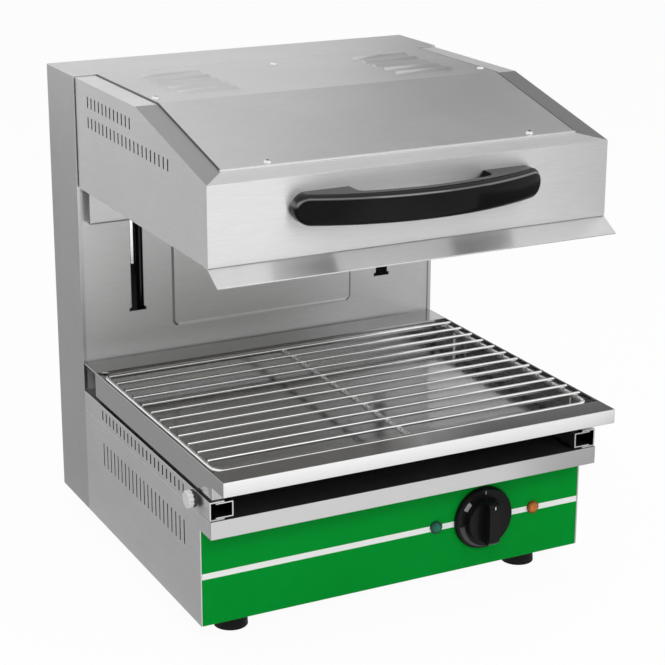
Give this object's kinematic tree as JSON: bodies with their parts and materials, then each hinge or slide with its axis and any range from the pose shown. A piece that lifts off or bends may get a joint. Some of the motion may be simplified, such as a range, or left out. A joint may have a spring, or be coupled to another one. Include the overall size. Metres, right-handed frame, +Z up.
{
  "type": "salamander grill",
  "caption": "Countertop electric salamander grill: counterbalanced heating hood that rises and falls on a column, over a wire grid in a sliding drip tray, with a heat knob.",
  "frame": {"origin": "on the table, under the middle of the whole outline", "axes": "+Z up; -Y towards the front, where the handle and the knob are; +X to the right seen from the front"},
  "size_m": [0.472, 0.505, 0.5324],
  "materials": {
    "stainless": "fine brushed, satin",
    "green_panel": "gloss enamel with one white stripe",
    "wire": "bright plated wire",
    "bright_steel": "bright plated",
    "reflector_steel": "mill finish, heat tinted",
    "element": "oxidised tube",
    "black_plastic": "moulded, glossy",
    "dull_plastic": "moulded, dull",
    "lens_green": "clear moulded",
    "lens_amber": "clear moulded",
    "rubber": "moulded, dull",
    "gear_steel": "zinc plated",
    "block_aluminium": "machined",
    "bush_brass": "turned",
    "cast_weight": "rough cast, painted"
  },
  "bodies": {
    "casing": {"column_shell": "stainless", "column_front_panel": "stainless", "back_cover": "stainless", "base_floor": "stainless", "base_side_left": "stainless", "base_side_right": "stainless", "base_deck": "stainless", "control_panel": "green_panel", "feet": "rubber", "rail_outer_left": "stainless", "rail_outer_right": "stainless", "guide_rods": "bright_steel", "rod_sockets": "gear_steel", "top_crossbar": "gear_steel", "pulley_bracket_left": "gear_steel", "pulley_bracket_right": "gear_steel", "pulley_axles": "bright_steel", "rope_left": "gear_steel", "rope_right": "gear_steel", "regulator": "dull_plastic", "lamp_bodies": "dull_plastic", "lamp_lens_green": "lens_green", "lamp_lens_amber": "lens_amber", "terminal_block": "dull_plastic", "cable_gland": "dull_plastic"},
    "hood": {"hood_shell": "stainless", "hood_top_cover": "stainless", "deflector": "stainless", "hood_back_panel": "stainless", "reflector": "reflector_steel", "heating_elements": "element", "element_hangers": "reflector_steel", "handle": "black_plastic", "handle_screws": "bright_steel", "cover_screws": "bright_steel", "carriage_beam": "stainless", "lift_arm_left": "gear_steel", "lift_arm_right": "gear_steel", "carriage_plate": "gear_steel", "bearing_blocks": "block_aluminium", "guide_bushes": "bush_brass", "rope_ends_hood": "gear_steel"},
    "balance": {"counterweight": "cast_weight", "counterweight_lugs": "gear_steel", "rope_ends_weight": "gear_steel"},
    "left_wheel": {"pulley_left": "dull_plastic"},
    "right_wheel": {"pulley_right": "dull_plastic"},
    "knob": {"control_knob": "black_plastic", "knob_shaft": "bright_steel"},
    "drawer": {"tray": "stainless", "tray_spacers": "stainless", "rail_inner_left": "stainless", "rail_inner_right": "stainless"},
    "rack": {"grid_frame": "wire", "grid_bars": "wire"},
    "left_lock": {"thumb_screw_left": "bright_steel"},
    "right_lock": {"thumb_screw_right": "bright_steel"}
  },
  "joints": [
    {"name": "hood_lift", "type": "slide", "parent": "casing", "child": "hood", "axis": [0, 0, 1], "range_m": [-0.105, 0], "deforming": ["rope_left", "rope_right"]},
    {"name": "counterweight_slide", "type": "slide", "parent": "casing", "child": "balance", "axis": [0, 0, 1], "range_m": [0, 0.105]},
    {"name": "left_pulley_turn", "type": "hinge", "parent": "casing", "child": "left_wheel", "pos_m": [-0.07, 0.1895, 0.478], "axis": [1, 0, 0], "range_deg": [0, 305]},
    {"name": "right_pulley_turn", "type": "hinge", "parent": "casing", "child": "right_wheel", "pos_m": [0.07, 0.1895, 0.478], "axis": [1, 0, 0], "range_deg": [0, 305]},
    {"name": "knob_turn", "type": "hinge", "parent": "casing", "child": "knob", "pos_m": [0.102, -0.1805, 0.0815], "axis": [0, 1, 0], "range_deg": [0, 300]},
    {"name": "tray_slide", "type": "slide", "parent": "casing", "child": "drawer", "axis": [0, -1, 0], "range_m": [0, 0.2]},
    {"name": "grid_lift", "type": "slide", "parent": "drawer", "child": "rack", "axis": [0, 0, 1], "range_m": [0, 0.06]},
    {"name": "left_lock_turn", "type": "hinge", "parent": "casing", "child": "left_lock", "pos_m": [-0.225, -0.173, 0.163], "axis": [1, 0, 0], "range_deg": [0, 360]},
    {"name": "right_lock_turn", "type": "hinge", "parent": "casing", "child": "right_lock", "pos_m": [0.225, -0.173, 0.163], "axis": [1, 0, 0], "range_deg": [0, 360]}
  ],
  "couplings": [
    {"joint": "counterweight_slide", "follows": "hood_lift", "ratio": -1},
    {"joint": "left_pulley_turn", "follows": "hood_lift", "rad_per_m": -50},
    {"joint": "right_pulley_turn", "follows": "hood_lift", "rad_per_m": -50}
  ]
}
